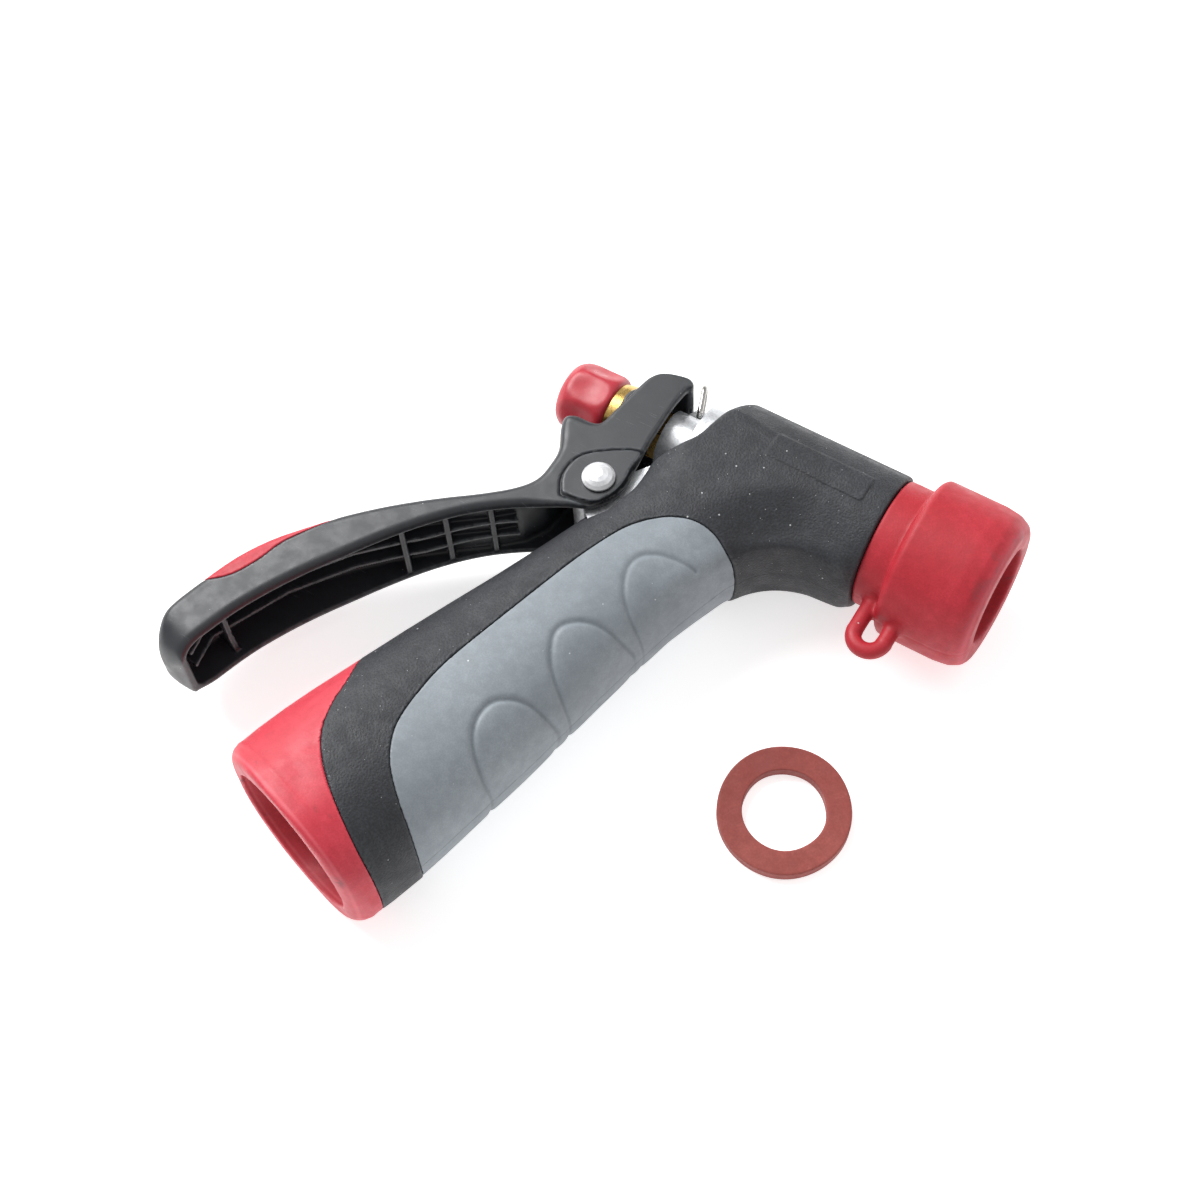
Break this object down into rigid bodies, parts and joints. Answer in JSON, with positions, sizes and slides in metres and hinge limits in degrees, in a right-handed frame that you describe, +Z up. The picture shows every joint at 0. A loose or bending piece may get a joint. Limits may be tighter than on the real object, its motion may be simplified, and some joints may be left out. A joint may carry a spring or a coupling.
{
  "type": "water hose nozzle",
  "caption": "Pistol-grip water hose nozzle with a rear squeeze lever, flow knob, rubber-covered barrel and handle, and a loose hose washer lying beside it.",
  "frame": {"origin": "centre of the whole object's footprint, on the surface that it lies on", "axes": "+Z up from that surface; +X is the spray direction as seen from above (the spray axis itself rises 3.4 degrees, as the nozzle rests on collar, barrel and handle end); +Y is the side that the top of the barrel faces; the handle runs towards -Y"},
  "size_m": [0.1318, 0.129, 0.0368],
  "materials": {
    "die_cast": "satin die-cast metal",
    "brass": "machined, satin",
    "black_rubber": "fine moulded texture, matt",
    "grey_rubber": "soft, matt",
    "red_rubber": "smooth, matt",
    "white_polymer": "smooth",
    "bright_steel": "polished",
    "black_plastic": "satin, fine moulded texture",
    "red_pad": "soft, matt",
    "steel": "turned",
    "seal_rubber": "matt",
    "spring_steel": "drawn wire",
    "red_plastic": "satin gloss",
    "wire_steel": "drawn wire",
    "washer_rubber": "matt, moulded"
  },
  "bodies": {
    "body": {"body_casting": "die_cast", "inlet_insert": "brass", "grip_overmould": "black_rubber", "finger_panel": "grey_rubber", "inlet_cap": "red_rubber", "nose_bumper": "red_rubber", "hang_loop": "red_rubber", "valve_seat": "brass", "packing_ring": "white_polymer", "packing_nut": "brass", "pivot_rivet": "bright_steel", "valve_spring": "spring_steel"},
    "squeeze_lever": {"lever": "black_plastic", "lever_pad": "red_pad"},
    "stem": {"valve_stem": "steel", "spring_collar": "steel", "valve_plug": "brass", "plug_seal": "seal_rubber", "seal_screw": "brass"},
    "adjuster": {"thrust_washer": "brass"},
    "knob": {"knob_insert": "brass", "flow_knob": "red_plastic"},
    "wire_clip": {"hold_clip": "wire_steel"},
    "loose_washer": {"hose_washer": "washer_rubber"}
  },
  "joints": [
    {"name": "lever_pivot", "type": "hinge", "parent": "body", "child": "squeeze_lever", "pos_m": [-0.00991, 0.02867, 0.0138], "axis": [-0.059, 0.063, 0.9963], "range_deg": [0, 12.5], "stiffness_Nm_per_rad": 0.6, "springref_deg": -14.32},
    {"name": "stem_slide", "type": "slide", "parent": "body", "child": "stem", "axis": [-0.9983, 0, -0.0591], "range_m": [0, 0.0046], "deforming": ["valve_spring"]},
    {"name": "knob_advance", "type": "slide", "parent": "stem", "child": "adjuster", "axis": [-0.9983, 0, -0.0591], "range_m": [0, 0.0016]},
    {"name": "knob_turn", "type": "hinge", "parent": "adjuster", "child": "knob", "pos_m": [-0.02351, 0.04853, 0.01174], "axis": [0.9983, 0, 0.0591], "range_deg": [0, 720]},
    {"name": "clip_swing", "type": "hinge", "parent": "body", "child": "wire_clip", "pos_m": [-0.00312, 0.05542, 0.01251], "axis": [-0.059, 0.063, 0.9963], "range_deg": [-42, 0]},
    {"name": "washer_lift", "type": "slide", "parent": "body", "child": "loose_washer", "axis": [0, 0, 1], "range_m": [0, 0.03]}
  ],
  "couplings": [
    {"joint": "stem_slide", "follows": "lever_pivot", "m_per_rad": 0.0199},
    {"joint": "knob_turn", "follows": "knob_advance", "rad_per_m": 7854}
  ]
}
